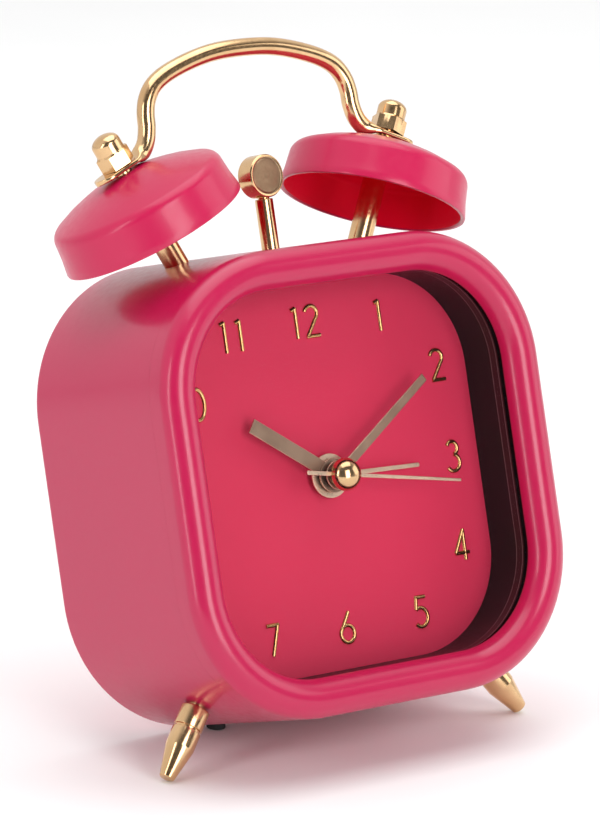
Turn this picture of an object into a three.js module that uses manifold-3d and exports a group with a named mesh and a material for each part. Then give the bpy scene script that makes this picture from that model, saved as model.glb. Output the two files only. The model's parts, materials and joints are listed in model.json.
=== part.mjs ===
// Twin-bell alarm clock with a rounded-square case, leaning back on two splayed feet and two rear pads.
// Millimetres. The clock is drawn in its own upright frame: X to the right, Y towards the back, Z up,
// origin on the hand axis. The finished clock is then leaned back and stood on the ground plane.
import * as THREE from "three";
import { mergeVertices } from "three/addons/utils/BufferGeometryUtils.js";
import Module from "manifold-3d";

const wasm = await Module();
wasm.setup();

// ---- driving dimensions ----
const GAP = 0.3; // between pieces that rest on each other
const LEAN = THREE.MathUtils.degToRad(16.5);

const CASE_W = 90;
const CASE_H = 91;
const CORNER_R = 27.6;
const CASE_DRAFT = 0.6; // the case side spreads outwards by this much from front to back
const INNER_INSET = 2.3; // inner face of the case wall, inwards from the bezel's outline
const BACK_EDGE = 1.2; // softened edge round the back of the case
const FRONT_Y = -24;
const BACK_Y = 23.7;
const BEAD_R = 3.84;
const BEZEL_SKIRT = 3.2;
const LEDGE_W = 2.2; // ledge inside the case that the rear cover rests on
const LEDGE_T = 1.2;
const BEAD_STEPS = 10;
const CORNER_STEPS = 7;

const LENS_INSET = 6;
const LENS_T = 1.5;
const RING_INSET = 7.3; // inner wall of the dark ring between lens and dial
const RING_WALL = 1.3;
const DIAL_Y = -7.1;
const DIAL_T = 1;
const DIAL_HOLE_R = 2.9;

const BELL_X = 26.4;
const BELL_Z = 52.4;
const BELL_Y = 1.2;
const BELL_TILT = THREE.MathUtils.degToRad(23.9);
const BELL_R = 19.1;
const BELL_H = 13.2;
const BELL_WALL = 1;
const POST_R = 2.4;
const STUD_R = 1.7;
const BELL_EDGE_R = 18.3; // radius where the side turns into the rounded shoulder
const BELL_EDGE_H = 6.8;
const SHOULDER_R = 2.2;
const SHOULDER_ARC = THREE.MathUtils.degToRad(70);
const POST_LEAN = THREE.MathUtils.degToRad(2.6); // a post leans outwards this much more than its bell
const POST_FOOT = 14.8; // how far the post reaches below the rim plane
const NUT_FLATS = 6.2;
const NUT_H = 3.2;
const CAP_R = 3;
const CAP_STRAIGHT = 5;
const CAP_H = 6.9;
const LOW_NUT_T = 1.8;

const GRIP_R = 1.85; // the handle is bent from round rod with flattened ends
const TAB_W = 5.8;
const TAB_T = 1;
const TAB_END = 6.2; // how far a handle tab reaches past the post axis, outwards
const TAB_INNER = 5.6; // and inwards, into the handle's bend

const FOOT_ANGLE = THREE.MathUtils.degToRad(36.5);
const FOOT_Y = -1.55;
const FOOT_GAP = 0.5; // between the case and the foot's upper rim
const FOOT_L = 15.7;
const FOOT_STUD_END = -5.8;
const FOOT_NUT = [-5.4, -3.2];
const FOOT_NUT_FLATS = 5.5;
const FOOT_R = 2.9;
const FOOT_TIP_R = 1.45;
const PAD_X = 15.3;
const PAD_Y = 21.2;
const PAD_R = 1.9;
const PAD_GAP = 0.15;

const HAMMER_Y = 0.6;
const PIVOT_Z = 31;
const ROD_R = 1.8;
const ROD_TOP = 55.8;
const NECK_R = 1.2;
const NECK_TOP = 57.6;
const PIN_R = 0.85;
const MOTOR_R = 6;
const EDGE = 0.3; // chamfer round the hammer head
const HEAD_Z = 60.3;
const HEAD_R = 4.3;
const HEAD_L = 4.2;
const HEAD_TURN = THREE.MathUtils.degToRad(6); // the head is turned to the right on its rod
const HAMMER_SWING = THREE.MathUtils.degToRad(8);
const CAM_Z = 19;

const GEAR_DISTANCE = 12; // centre axis to the setting arbor
const ALARM_DISTANCE = 15; // centre axis to the alarm-setting arbor
const PINION_TEETH = 12;
const SETTING_TEETH = 36;
const SETTING_PINION_TEETH = 10;
const HOUR_TEETH = 40;
const ALARM_TEETH = 40;
const ALARM_PINION_TEETH = 20;
const SETTING_ARBOR = { x: -10.392, z: 6 };
const ALARM_ARBOR = { x: 12.99, z: 7.5 };

const ARBOR_R = 1;
const ARBOR_END = 27;
const MOVEMENT_HALF = 25;
const MOVEMENT_WALL = 1.2;
const MOVEMENT_FRONT = -5.8;
const MOVEMENT_SPLIT = 4;
const COVER_FRONT = 21.5;
const COVER_T = 1.8;
const KNOB_R = 5.5;
const KNOB_FRONT = 23.8;
const KNOB_L = 4.2;
const BATTERY = { z: -16, y: 14, r: 7.1, half: 24.5 };
const DOOR = { halfW: 27, bottom: -25, top: -7.5 };
const SWITCH = { x: -19, z: 27, halfW: 3, halfH: 1.8, neckHalf: 1.6, back: 25.4, travel: 4 };
const SCREW = { x: 31, z: 27, shankR: 1.15, headR: 2.5, tip: 14 };

const COLOURS = {
  pink: [0xd83c6c, 0.35, 0.1],
  deepPink: [0xc8325a, 0.6, 0.0],
  black: [0x1c1214, 0.4, 0.0],
  gold: [0xd9b26c, 0.18, 1.0],
  handGold: [0xc9a97c, 0.35, 1.0],
  glass: [0xeef4f6, 0.05, 0.0],
  rubber: [0x141414, 0.8, 0.0],
  white: [0xe6e2da, 0.5, 0.0],
  steel: [0xa9adb2, 0.35, 1.0],
  copper: [0xb5643a, 0.4, 1.0],
};

// ---- helpers ----
const clock = new THREE.Group();
const leaning = new THREE.Group();
leaning.rotation.x = -LEAN;
clock.add(leaning);

function addPiece(name, geometry, colour, parent = leaning) {
  const [color, roughness, metalness] = COLOURS[colour];
  const mesh = new THREE.Mesh(geometry, new THREE.MeshStandardMaterial({ color, roughness, metalness }));
  mesh.name = name;
  parent.add(mesh);
  return mesh;
}

function toSolid(geometry) {
  const bare = geometry.index ? geometry.toNonIndexed() : geometry.clone();
  for (const key of Object.keys(bare.attributes)) if (key !== "position") bare.deleteAttribute(key);
  const merged = mergeVertices(bare, 1e-4);
  const vertProperties = new Float32Array(merged.attributes.position.array);
  const triVerts = new Uint32Array(merged.index.array);
  return new wasm.Manifold(new wasm.Mesh({ numProp: 3, vertProperties, triVerts }));
}

function toGeometry(solid) {
  const mesh = solid.getMesh();
  const geometry = new THREE.BufferGeometry();
  geometry.setAttribute("position", new THREE.BufferAttribute(mesh.vertProperties, 3));
  geometry.setIndex(new THREE.BufferAttribute(mesh.triVerts, 1));
  return geometry;
}

const join = (first, ...more) =>
  toGeometry(more.reduce((sum, geometry) => sum.add(toSolid(geometry)), toSolid(first)));
const cut = (first, ...more) =>
  toGeometry(more.reduce((rest, geometry) => rest.subtract(toSolid(geometry)), toSolid(first)));

// Points of a rounded rectangle in the XZ plane, each with its outward normal.
function roundedOutline(halfW, halfH, radius, steps = CORNER_STEPS) {
  const points = [];
  const corners = [[1, 1], [-1, 1], [-1, -1], [1, -1]];
  corners.forEach(([sx, sz], quarter) => {
    for (let i = 0; i <= steps; i += 1) {
      const angle = (quarter + i / steps) * (Math.PI / 2);
      const normal = { x: Math.cos(angle), z: Math.sin(angle) };
      const x = sx * (halfW - radius) + radius * normal.x;
      const z = sz * (halfH - radius) + radius * normal.z;
      points.push({ x, z, normal });
    }
  });
  return points;
}

// A closed ring: a section of [inward offset, y] points carried round the case's outline.
function outlineRing(section) {
  const outline = roundedOutline(CASE_W / 2, CASE_H / 2, CORNER_R);
  const positions = [];
  for (const { x, z, normal } of outline)
    for (const [inset, y] of section) positions.push(x - inset * normal.x, y, z - inset * normal.z);
  const index = [];
  const rows = outline.length;
  const columns = section.length;
  for (let i = 0; i < rows; i += 1)
    for (let j = 0; j < columns; j += 1) {
      const a = i * columns + j;
      const b = ((i + 1) % rows) * columns + j;
      const c = ((i + 1) % rows) * columns + ((j + 1) % columns);
      const d = i * columns + ((j + 1) % columns);
      index.push(a, c, b, a, d, c);
    }
  const geometry = new THREE.BufferGeometry();
  geometry.setAttribute("position", new THREE.Float32BufferAttribute(positions, 3));
  geometry.setIndex(index);
  return geometry;
}

const shapeOf = (points) => new THREE.Shape(points.map(([x, z]) => new THREE.Vector2(x, z)));

function roundedShape(halfW, halfH, radius, steps = CORNER_STEPS) {
  return shapeOf(roundedOutline(halfW, halfH, radius, steps).map(({ x, z }) => [x, z]));
}

function rectangle(x0, x1, z0, z1) {
  return shapeOf([[x0, z0], [x1, z0], [x1, z1], [x0, z1]]);
}

function circleHole(shape, x, z, radius) {
  const hole = new THREE.Path();
  hole.absarc(x, z, radius, 0, 2 * Math.PI, true);
  shape.holes.push(hole);
}

// A shape drawn in X and Z, made solid from y0 to y1.
function plate(shape, y0, y1, curveSegments = 12) {
  const geometry = new THREE.ExtrudeGeometry(shape, { depth: y1 - y0, bevelEnabled: false, curveSegments });
  return geometry.rotateX(Math.PI / 2).translate(0, y1, 0);
}

// A turned piece along Y from a profile of [radius, y]; along Z when upright is true.
function turned(profile, segments = 24, upright = false) {
  const points = profile.map(([radius, along]) => new THREE.Vector2(radius, along));
  const geometry = new THREE.LatheGeometry(points, segments);
  return upright ? geometry.rotateX(Math.PI / 2) : geometry;
}

const rod = (radius, from, to, segments = 24, upright = false) =>
  turned([[0, from], [radius, from], [radius, to], [0, to]], segments, upright);
const tube = (inner, outer, from, to, segments = 24, upright = false) =>
  turned([[inner, from], [outer, from], [outer, to], [inner, to], [inner, from]], segments, upright);

function box(x0, x1, y0, y1, z0, z1) {
  const geometry = new THREE.BoxGeometry(x1 - x0, y1 - y0, z1 - z0);
  return geometry.translate((x0 + x1) / 2, (y0 + y1) / 2, (z0 + z1) / 2);
}

function hexagon(acrossFlats, from, to, upright = true) {
  const radius = acrossFlats / Math.sqrt(3);
  return rod(radius, from, to, 6, upright);
}

// A gear with involute flanks; turn places the middle of one tooth at that angle from +X.
function gearShape(teeth, module, turn) {
  const pressure = THREE.MathUtils.degToRad(28);
  const backlash = 0.12;
  const pitchR = (teeth * module) / 2;
  const baseR = pitchR * Math.cos(pressure);
  const involute = (angle) => Math.tan(angle) - angle;
  const halfTooth = Math.PI / (2 * teeth) - backlash / (2 * pitchR);
  const halfAngleAt = (radius) => {
    const flank = Math.acos(Math.min(1, baseR / radius));
    return halfTooth + involute(pressure) - involute(flank);
  };
  const radii = [pitchR - 1.15 * module, pitchR, pitchR + 0.8 * module];
  const points = [];
  for (let tooth = 0; tooth < teeth; tooth += 1) {
    const middle = turn + (tooth * 2 * Math.PI) / teeth;
    const rising = radii.map((radius) => [radius, middle - halfAngleAt(radius)]);
    const falling = [...radii].reverse().map((radius) => [radius, middle + halfAngleAt(radius)]);
    for (const [radius, angle] of [...rising, ...falling])
      points.push([radius * Math.cos(angle), radius * Math.sin(angle)]);
  }
  return shapeOf(points);
}

// ---- case, bezel, lens, ring and dial ----
const ledgeY = COVER_FRONT - GAP;
const beadY = FRONT_Y + BEAD_R;
const skirtY = beadY + BEZEL_SKIRT;
const sides = [["left", -1], ["right", 1]];

const caseSpread = (y) => (CASE_DRAFT * (y - skirtY)) / (BACK_Y - skirtY);
const footBaseR = CORNER_R + caseSpread(FOOT_Y);

function onBellAxis(geometry, side) {
  return geometry.rotateY(side * BELL_TILT).translate(side * BELL_X, BELL_Y, BELL_Z);
}

// A post pivots from its bell's axis at the crown, its foot moving in and its nut moving out.
function onPostAxis(geometry, side) {
  const leant = geometry.translate(0, 0, -BELL_H).rotateY(side * POST_LEAN).translate(0, 0, BELL_H);
  return onBellAxis(leant, side);
}

// The point on the foot's axis at this distance from the corner's centre, on the right-hand side.
function footPoint(distance) {
  const x = CASE_W / 2 - CORNER_R + distance * Math.sin(FOOT_ANGLE);
  const z = -(CASE_H / 2 - CORNER_R + distance * Math.cos(FOOT_ANGLE));
  return new THREE.Vector3(x, FOOT_Y, z);
}

function footPlace(geometry, side) {
  const { x, z } = footPoint(footBaseR);
  return geometry.rotateX(Math.PI).rotateY(-side * FOOT_ANGLE).translate(side * x, FOOT_Y, z);
}

function buildCase() {
  const edgeStart = BACK_Y - BACK_EDGE;
  const section = [
    [0, skirtY + GAP], [-caseSpread(edgeStart), edgeStart],
    [-CASE_DRAFT + BACK_EDGE * 0.3, BACK_Y - BACK_EDGE * 0.3], [BACK_EDGE - CASE_DRAFT, BACK_Y],
    [INNER_INSET, BACK_Y], [INNER_INSET, ledgeY], [INNER_INSET + LEDGE_W, ledgeY],
    [INNER_INSET + LEDGE_W, ledgeY - LEDGE_T], [INNER_INSET, ledgeY - LEDGE_T], [INNER_INSET, skirtY + GAP],
  ];
  const holes = sides.flatMap(([, side]) => [
    onPostAxis(rod(POST_R + GAP, -BELL_H, 0, 20, true), side),
    footPlace(rod(STUD_R + GAP, -4, 4, 16, true), side),
  ]);
  const slotReach = (CASE_H / 2 - PIVOT_Z) * Math.tan(HAMMER_SWING) + ROD_R + 2 * GAP;
  const slotHalf = ROD_R + 2 * GAP;
  const slot = box(-slotReach, slotReach, HAMMER_Y - slotHalf, HAMMER_Y + slotHalf, 40, 50);
  addPiece("case_shell", cut(outlineRing(section), ...holes, slot), "pink");
}

function buildFront() {
  const bead = [];
  for (let i = 0; i <= BEAD_STEPS; i += 1) {
    const angle = (Math.PI * i) / BEAD_STEPS;
    bead.push([BEAD_R - BEAD_R * Math.cos(angle), beadY - BEAD_R * Math.sin(angle)]);
  }
  const section = [[INNER_INSET, beadY], [INNER_INSET, skirtY], [0, skirtY], ...bead];
  addPiece("front_bezel", outlineRing(section.reverse()), "pink");

  const lensY = beadY + GAP;
  const lens = roundedShape(CASE_W / 2 - LENS_INSET, CASE_H / 2 - LENS_INSET, CORNER_R - LENS_INSET);
  addPiece("lens", plate(lens, lensY, lensY + LENS_T), "glass");

  const ringFront = lensY + LENS_T + GAP;
  const ringBack = DIAL_Y - GAP;
  const wallInset = RING_INSET - RING_WALL;
  const flangeInset = INNER_INSET + GAP;
  addPiece("spacer_ring", outlineRing([
    [RING_INSET, ringFront], [wallInset, ringFront], [wallInset, ringBack - RING_WALL],
    [flangeInset, ringBack - RING_WALL], [flangeInset, ringBack], [RING_INSET, ringBack],
  ]), "black");

  const dial = roundedShape(CASE_W / 2 - flangeInset, CASE_H / 2 - flangeInset, CORNER_R - flangeInset);
  circleHole(dial, 0, 0, DIAL_HOLE_R);
  addPiece("dial_plate", plate(dial, DIAL_Y, DIAL_Y + DIAL_T), "deepPink");
}

// ---- bells, posts, nuts and handle ----
function buildBells() {
  const shoulder = [];
  for (let i = 0; i <= 3; i += 1) {
    const angle = SHOULDER_ARC * (i / 3);
    const radius = BELL_EDGE_R - SHOULDER_R + SHOULDER_R * Math.cos(angle);
    shoulder.push([radius, BELL_EDGE_H + SHOULDER_R * Math.sin(angle)]);
  }
  const roof = BELL_H - 0.2;
  const crown = [[14, 10.05], [9, 11.65], [4.4, 12.8], [3.2, roof]];
  const outer = [[BELL_R, 0], [18.7, 3], ...shoulder, ...crown];
  const inset = outer.map(([radius, height]) => [radius - BELL_WALL, Math.max(0, height - BELL_WALL * 0.9)]);
  inset[0] = [BELL_R - BELL_WALL, 0];
  const holeR = STUD_R + GAP;
  const profile = [
    ...outer, [holeR, roof], [holeR, roof - BELL_WALL], ...[...inset].reverse(), outer[0],
  ];
  const tabBottom = BELL_H + GAP;
  const nutBottom = tabBottom + TAB_T + GAP;
  const postTop = roof - BELL_WALL - GAP;
  for (const [name, side] of sides) {
    addPiece(`bell_${name}`, onBellAxis(turned(profile, 28, true), side), "pink");
    const post = turned([
      [0, -POST_FOOT], [POST_R, -POST_FOOT], [POST_R, postTop], [STUD_R, postTop],
      [STUD_R, nutBottom + NUT_H + 1.5], [0, nutBottom + NUT_H + 1.5],
    ], 20, true);
    addPiece(`bell_post_${name}`, onPostAxis(post, side), "gold");
    const lowNut = cut(hexagon(NUT_FLATS + 1.2, 0, LOW_NUT_T), rod(POST_R + GAP, -1, 3, 16, true));
    lowNut.translate(0, 0, -POST_FOOT + 0.2);
    addPiece(`post_nut_${name}`, onPostAxis(lowNut, side), "steel");
    const cap = turned([
      [0, 1], [CAP_R, 1], [CAP_R, CAP_STRAIGHT], [0.92 * CAP_R, CAP_STRAIGHT + 1],
      [0.7 * CAP_R, CAP_H - 0.65], [0.37 * CAP_R, CAP_H - 0.15], [0, CAP_H],
    ], 20, true);
    const bore = rod(STUD_R + GAP, -1, NUT_H + 1.9, 16, true);
    const nut = cut(join(hexagon(NUT_FLATS, 0, NUT_H), cap), bore);
    nut.translate(0, 0, nutBottom);
    addPiece(`acorn_nut_${name}`, onPostAxis(nut, side), "gold");
  }
}

// Centreline of the handle's right half as [x, z], from the tab up to the middle of the arch.
const ARCH = [
  [29.2, 66.55], [27, 67.5], [25.4, 69.5], [24.7, 72.4], [24.5, 75.2], [23.8, 77.8],
  [22.1, 80.3], [19.5, 82.1], [14.5, 84.05], [7.5, 85.7], [0, 86.15],
];

function buildHandle() {
  const half = ARCH.map(([x, z]) => new THREE.Vector3(-x, BELL_Y, z));
  const mirrored = [...half].reverse().slice(1).map((p) => new THREE.Vector3(-p.x, p.y, p.z));
  const path = new THREE.CatmullRomCurve3([...half, ...mirrored], false, "centripetal");
  const section = [];
  for (let i = 0; i < 12; i += 1) {
    const angle = (2 * Math.PI * i) / 12;
    section.push([GRIP_R * Math.cos(angle), GRIP_R * Math.sin(angle)]);
  }
  const grip = new THREE.ExtrudeGeometry(shapeOf(section), { steps: 40, extrudePath: path });
  const tabBottom = BELL_H + GAP;
  const tabs = sides.map(([, side]) => {
    const outline = new THREE.Shape();
    outline.absarc(TAB_END - TAB_W / 2, 0, TAB_W / 2, -Math.PI / 2, Math.PI / 2, false);
    outline.lineTo(-TAB_INNER, GRIP_R);
    outline.lineTo(-TAB_INNER, -GRIP_R);
    circleHole(outline, 0, 0, STUD_R + GAP);
    const tab = new THREE.ExtrudeGeometry(outline, { depth: TAB_T, bevelEnabled: false, curveSegments: 8 });
    if (side < 0) tab.rotateZ(Math.PI);
    return onBellAxis(tab.translate(0, 0, tabBottom), side);
  });
  const clearance = sides.flatMap(([, side]) => [
    onBellAxis(rod(BELL_R, 8, tabBottom, 24, true), side),
    onBellAxis(rod(4.1, tabBottom + TAB_T, tabBottom + 12, 20, true), side),
  ]);
  addPiece("carry_handle", cut(join(grip, ...tabs), ...clearance), "gold");
}

// ---- feet and pads ----
function buildFeet() {
  const groove = FOOT_R - 0.25;
  const profile = [
    [0, FOOT_STUD_END], [STUD_R, FOOT_STUD_END], [STUD_R, FOOT_GAP], [FOOT_R, FOOT_GAP], [FOOT_R, 4.7],
    [groove, 4.8], [groove, 5.2], [FOOT_R, 5.3], [FOOT_R, 9], [FOOT_TIP_R + 0.15, FOOT_L - 0.2],
    [FOOT_TIP_R, FOOT_L], [0, FOOT_L],
  ];
  for (const [name, side] of sides) {
    addPiece(`foot_${name}`, footPlace(turned(profile, 20, true), side), "gold");
    const bore = rod(STUD_R + GAP, FOOT_STUD_END - 1, 0, 16, true);
    const nut = cut(hexagon(FOOT_NUT_FLATS, ...FOOT_NUT), bore);
    addPiece(`foot_nut_${name}`, footPlace(nut, side), "steel");
  }
}

// Distance of the ground plane below the hand axis, through the lowest rim of the foot tips.
function groundDrop() {
  const down = new THREE.Vector3(0, Math.sin(LEAN), -Math.cos(LEAN));
  const along = Math.cos(LEAN) * Math.cos(FOOT_ANGLE);
  return down.dot(footPoint(footBaseR + FOOT_L)) + FOOT_TIP_R * Math.sqrt(1 - along * along);
}

function buildPads() {
  const padTop = -CASE_H / 2 - caseSpread(PAD_Y) - PAD_GAP;
  for (const [name, side] of sides) {
    const blank = rod(PAD_R, padTop - 6, padTop, 20, true).translate(side * PAD_X, PAD_Y, 0);
    const belowGround = box(-60, 60, -60, 60, -60, 0);
    belowGround.translate(0, 0, -groundDrop()).rotateX(LEAN);
    addPiece(`rear_pad_${name}`, cut(blank, belowGround), "rubber");
  }
}

// ---- hammer and bell motor ----
function buildHammer() {
  const hub = tube(PIN_R + GAP, 3, -1.8, 9, 20).translate(0, 0, PIVOT_Z);
  const atRod = (geometry) => geometry.translate(0, HAMMER_Y, 0);
  const stem = atRod(rod(ROD_R, PIVOT_Z + 2, ROD_TOP, 16, true));
  const neck = atRod(rod(NECK_R, ROD_TOP - GAP, NECK_TOP, 12, true));
  const hubBottom = PIVOT_Z - 1.6;
  const fork = plate(shapeOf([
    [-6.9, 16.6], [-5.4, 16.6], [-5.4, 24.6], [5.4, 24.6], [5.4, 16.6], [6.9, 16.6],
    [6.9, 26.4], [2, hubBottom], [-2, hubBottom], [-6.9, 26.4],
  ]), 6.6, 9);
  addPiece("hammer_arm", join(hub, stem, neck, fork), "gold");
  const half = HEAD_L / 2;
  const head = turned([
    [0, -half], [HEAD_R - EDGE, -half], [HEAD_R, EDGE - half], [HEAD_R, half - EDGE],
    [HEAD_R - EDGE, half], [0, half],
  ], 28).rotateZ(HEAD_TURN).translate(0, HAMMER_Y, HEAD_Z);
  const socket = atRod(rod(NECK_R + GAP, 50, NECK_TOP + GAP, 12, true));
  addPiece("hammer_head", cut(head, socket), "gold");

  addPiece("hammer_pin", rod(PIN_R, -3, 10.6, 16).translate(0, 0, PIVOT_Z), "steel");
  const bracket = rectangle(-9, 9, PIVOT_Z - 3.4, 42.4);
  circleHole(bracket, 0, PIVOT_Z, PIN_R + GAP);
  addPiece("hammer_bracket", plate(bracket, -4.6, -3.3), "steel");

  addPiece("bell_motor", rod(MOTOR_R, 10.2, 20.4, 20).translate(0, 0, CAM_Z), "steel");
  const cam = join(rod(2, 6.8, 8.6, 16).translate(1, 0, 0), rod(0.7, 6.8, 9.9, 12));
  addPiece("motor_cam", cam.translate(0, 0, CAM_Z), "white");
}

// ---- movement ----
function buildMovement() {
  const half = MOVEMENT_HALF;
  const inside = half - MOVEMENT_WALL;
  const tray = box(-half, half, MOVEMENT_FRONT, MOVEMENT_SPLIT, -half, half);
  const floorY = MOVEMENT_FRONT + MOVEMENT_WALL;
  const hollow = box(-inside, inside, floorY, MOVEMENT_SPLIT + 1, -inside, inside);
  addPiece("movement_front", cut(tray, hollow, rod(DIAL_HOLE_R, -8, 0, 20)), "white");
  const rear = rectangle(-half, half, -half, half);
  for (const { x, z } of [SETTING_ARBOR, ALARM_ARBOR]) circleHole(rear, x, z, ARBOR_R + GAP);
  const rearFront = MOVEMENT_SPLIT + GAP;
  addPiece("movement_rear", plate(rear, rearFront, rearFront + MOVEMENT_WALL), "white");

  addPiece("drive_coil", rod(3, -9, 9, 16).rotateZ(Math.PI / 2).translate(0, 0, -19.5), "copper");
  const stator = rectangle(-13, 13, -18, -10.5);
  circleHole(stator, 0, -14, 2.6);
  addPiece("stator", plate(stator, 3.1, 3.7), "steel");
  addPiece("circuit_board", box(-22, -14, -4.2, -3.2, -22, -4), "black");
}

// ---- hands with their pipes, and the gears that turn them ----
// degrees: where a hand points, clockwise from twelve; bore: the hole through its pipe.
const HANDS = {
  alarm_hand: {
    length: 21.8, rootHalf: 0.45, tipHalf: 0.45, tail: 0, degrees: 91.8, thick: 0.4,
    front: -8.9, hubR: 4.4, bore: 2.05, pipeR: 2.6, pipeBack: -3.2,
  },
  hour_hand: {
    length: 21.5, rootHalf: 1.5, tipHalf: 1.5, tail: 0, degrees: -55.6, thick: 0.4,
    front: -10.2, hubR: 3.4, bore: 1.35, pipeR: 1.85, pipeBack: -1.9,
  },
  minute_hand: {
    length: 29, rootHalf: 1, tipHalf: 0.8, tail: 0, degrees: 55.4, thick: 0.4,
    front: -11.8, hubR: 2.9, bore: 0.65, pipeR: 1.15, pipeBack: -0.3,
  },
  second_hand: {
    length: 28.3, rootHalf: 0.45, tipHalf: 0.3, tail: 8.9, degrees: 99.9, thick: 0.3,
    front: -13.8, hubR: 1.4, bore: 0, pipeR: 0.45, pipeBack: 2.4,
  },
};

function handBlade({ length, rootHalf, tipHalf, tail, degrees }) {
  const angle = THREE.MathUtils.degToRad(degrees);
  const at = (along, across) => [
    Math.sin(angle) * along + Math.cos(angle) * across,
    Math.cos(angle) * along - Math.sin(angle) * across,
  ];
  return shapeOf([at(-tail, rootHalf), at(-tail, -rootHalf), at(length, -tipHalf), at(length, tipHalf)]);
}

function buildHand(name, ...extras) {
  const { thick, front, hubR, bore, pipeR, pipeBack } = HANDS[name];
  const blade = plate(handBlade(HANDS[name]), front, front + thick);
  const hub = rod(hubR, front, front + thick, 20);
  let solid = join(blade, hub, rod(pipeR, front, pipeBack, 20), ...extras);
  if (bore) solid = cut(solid, rod(bore, front - 1, pipeBack + 1, 20));
  addPiece(name, solid, "handGold");
}

function buildHands() {
  const settingTurn = Math.atan2(SETTING_ARBOR.z, SETTING_ARBOR.x);
  const alarmTurn = Math.atan2(ALARM_ARBOR.z, ALARM_ARBOR.x);
  const moduleFor = (distance, teeth, mateTeeth) => (2 * distance) / (teeth + mateTeeth);
  const hourModule = moduleFor(GEAR_DISTANCE, HOUR_TEETH, SETTING_PINION_TEETH);
  const minuteModule = moduleFor(GEAR_DISTANCE, PINION_TEETH, SETTING_TEETH);
  const alarmModule = moduleFor(ALARM_DISTANCE, ALARM_TEETH, ALARM_PINION_TEETH);
  // A mating gear is turned half a tooth, so that a gap faces the other gear's tooth.
  const mate = (teeth, module, turn) => gearShape(teeth, module, turn + Math.PI + Math.PI / teeth);

  buildHand("alarm_hand", plate(gearShape(ALARM_TEETH, alarmModule, alarmTurn), -4.2, -3.2));
  buildHand("hour_hand", plate(gearShape(HOUR_TEETH, hourModule, settingTurn), -2.8, -1.9));
  const boss = tube(0.65, 2.2, -12.6, -11.7);
  buildHand("minute_hand", plate(gearShape(PINION_TEETH, minuteModule, settingTurn), -1.5, -0.3), boss);
  buildHand("second_hand", rod(7, 0.3, 0.9, 24));
  const dome = [[0, 0], [3.3, 0], [3.3, 0.5], [3.05, 1.3], [2.3, 2.1], [1.2, 2.55], [0, 2.7]];
  const cap = turned(dome, 24).rotateX(Math.PI).translate(0, -14.1, 0);
  addPiece("centre_cap", cap, "gold");

  const settingArbor = join(
    plate(mate(SETTING_TEETH, minuteModule, settingTurn), -1.5, -0.3),
    plate(mate(SETTING_PINION_TEETH, hourModule, settingTurn), -2.9, -1.4),
    rod(ARBOR_R, -2.9, ARBOR_END, 16),
  );
  addPiece("setting_wheel", settingArbor.translate(SETTING_ARBOR.x, 0, SETTING_ARBOR.z), "white");
  const alarmArbor = join(
    plate(mate(ALARM_PINION_TEETH, alarmModule, alarmTurn), -4.3, -3.1),
    rod(ARBOR_R, -4.3, ARBOR_END, 16),
  );
  addPiece("alarm_wheel", alarmArbor.translate(ALARM_ARBOR.x, 0, ALARM_ARBOR.z), "white");
}

// ---- rear cover, battery, knobs and switch ----
function buildCover() {
  const inset = INNER_INSET + GAP;
  const cover = roundedShape(CASE_W / 2 - inset, CASE_H / 2 - inset, CORNER_R - inset);
  for (const { x, z } of [SETTING_ARBOR, ALARM_ARBOR]) circleHole(cover, x, z, ARBOR_R + 0.4);
  cover.holes.push(rectangle(-DOOR.halfW, DOOR.halfW, DOOR.bottom, DOOR.top));
  const slotX = SWITCH.x + SWITCH.travel / 2;
  const slotHalf = SWITCH.neckHalf + SWITCH.travel / 2 + 2 * GAP;
  cover.holes.push(rectangle(slotX - slotHalf, slotX + slotHalf, SWITCH.z - 1.2, SWITCH.z + 1.2));
  const screws = [-SCREW.z, SCREW.z].flatMap((z) => [-SCREW.x, SCREW.x].map((x) => [x, z])).reverse();
  for (const [x, z] of screws) circleHole(cover, x, z, SCREW.shankR + GAP);
  const coverBack = COVER_FRONT + COVER_T;
  addPiece("rear_cover", plate(cover, COVER_FRONT, coverBack), "pink");
  screws.forEach(([x, z], i) => {
    const headFront = coverBack + GAP;
    const head = turned([
      [0, SCREW.tip], [SCREW.shankR, SCREW.tip], [SCREW.shankR, headFront], [SCREW.headR, headFront],
      [SCREW.headR - 0.2, headFront + 0.8], [0, headFront + 1],
    ], 16);
    const across = box(-1.6, 1.6, headFront + 0.4, 25, -0.3, 0.3);
    const along = box(-0.3, 0.3, headFront + 0.4, 25, -1.6, 1.6);
    addPiece(`cover_screw_${i + 1}`, cut(head, across, along).translate(x, 0, z), "steel");
  });
  const lip = 2 * GAP;
  const door = rectangle(-DOOR.halfW + lip, DOOR.halfW - lip, DOOR.bottom + lip, DOOR.top - lip);
  const ribs = [0, 1, 2].map((i) => {
    const low = DOOR.bottom + 2.6 + i * 1.6;
    return box(-6, 6, coverBack - 0.1, coverBack + 0.6, low, low + 0.8);
  });
  addPiece("battery_door", join(plate(door, COVER_FRONT, coverBack), ...ribs), "pink");
}

function buildBattery() {
  const { r, half, y, z } = BATTERY;
  const cell = turned([[0, -half], [r, -half], [r, half], [2.7, half], [2.7, half + 1], [0, half + 1]], 20);
  addPiece("battery_cell", cell.rotateZ(-Math.PI / 2).translate(0, y, z), "steel");
  const outside = box(-27.4, 27.4, 5.8, 21, z - 8.2, z + 8);
  const inside = box(-26.2, 26.2, 6.6, 22, z - 7.2, z + 7.4);
  addPiece("battery_tray", cut(outside, inside), "white");
  const contactZ = [z - 4.5, z + 4.5];
  addPiece("contact_plus", box(25.75, 25.95, 9, 17.5, ...contactZ), "steel");
  addPiece("contact_minus", box(-25.9, -25.2, 9, 17.5, ...contactZ), "steel");
}

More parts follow.
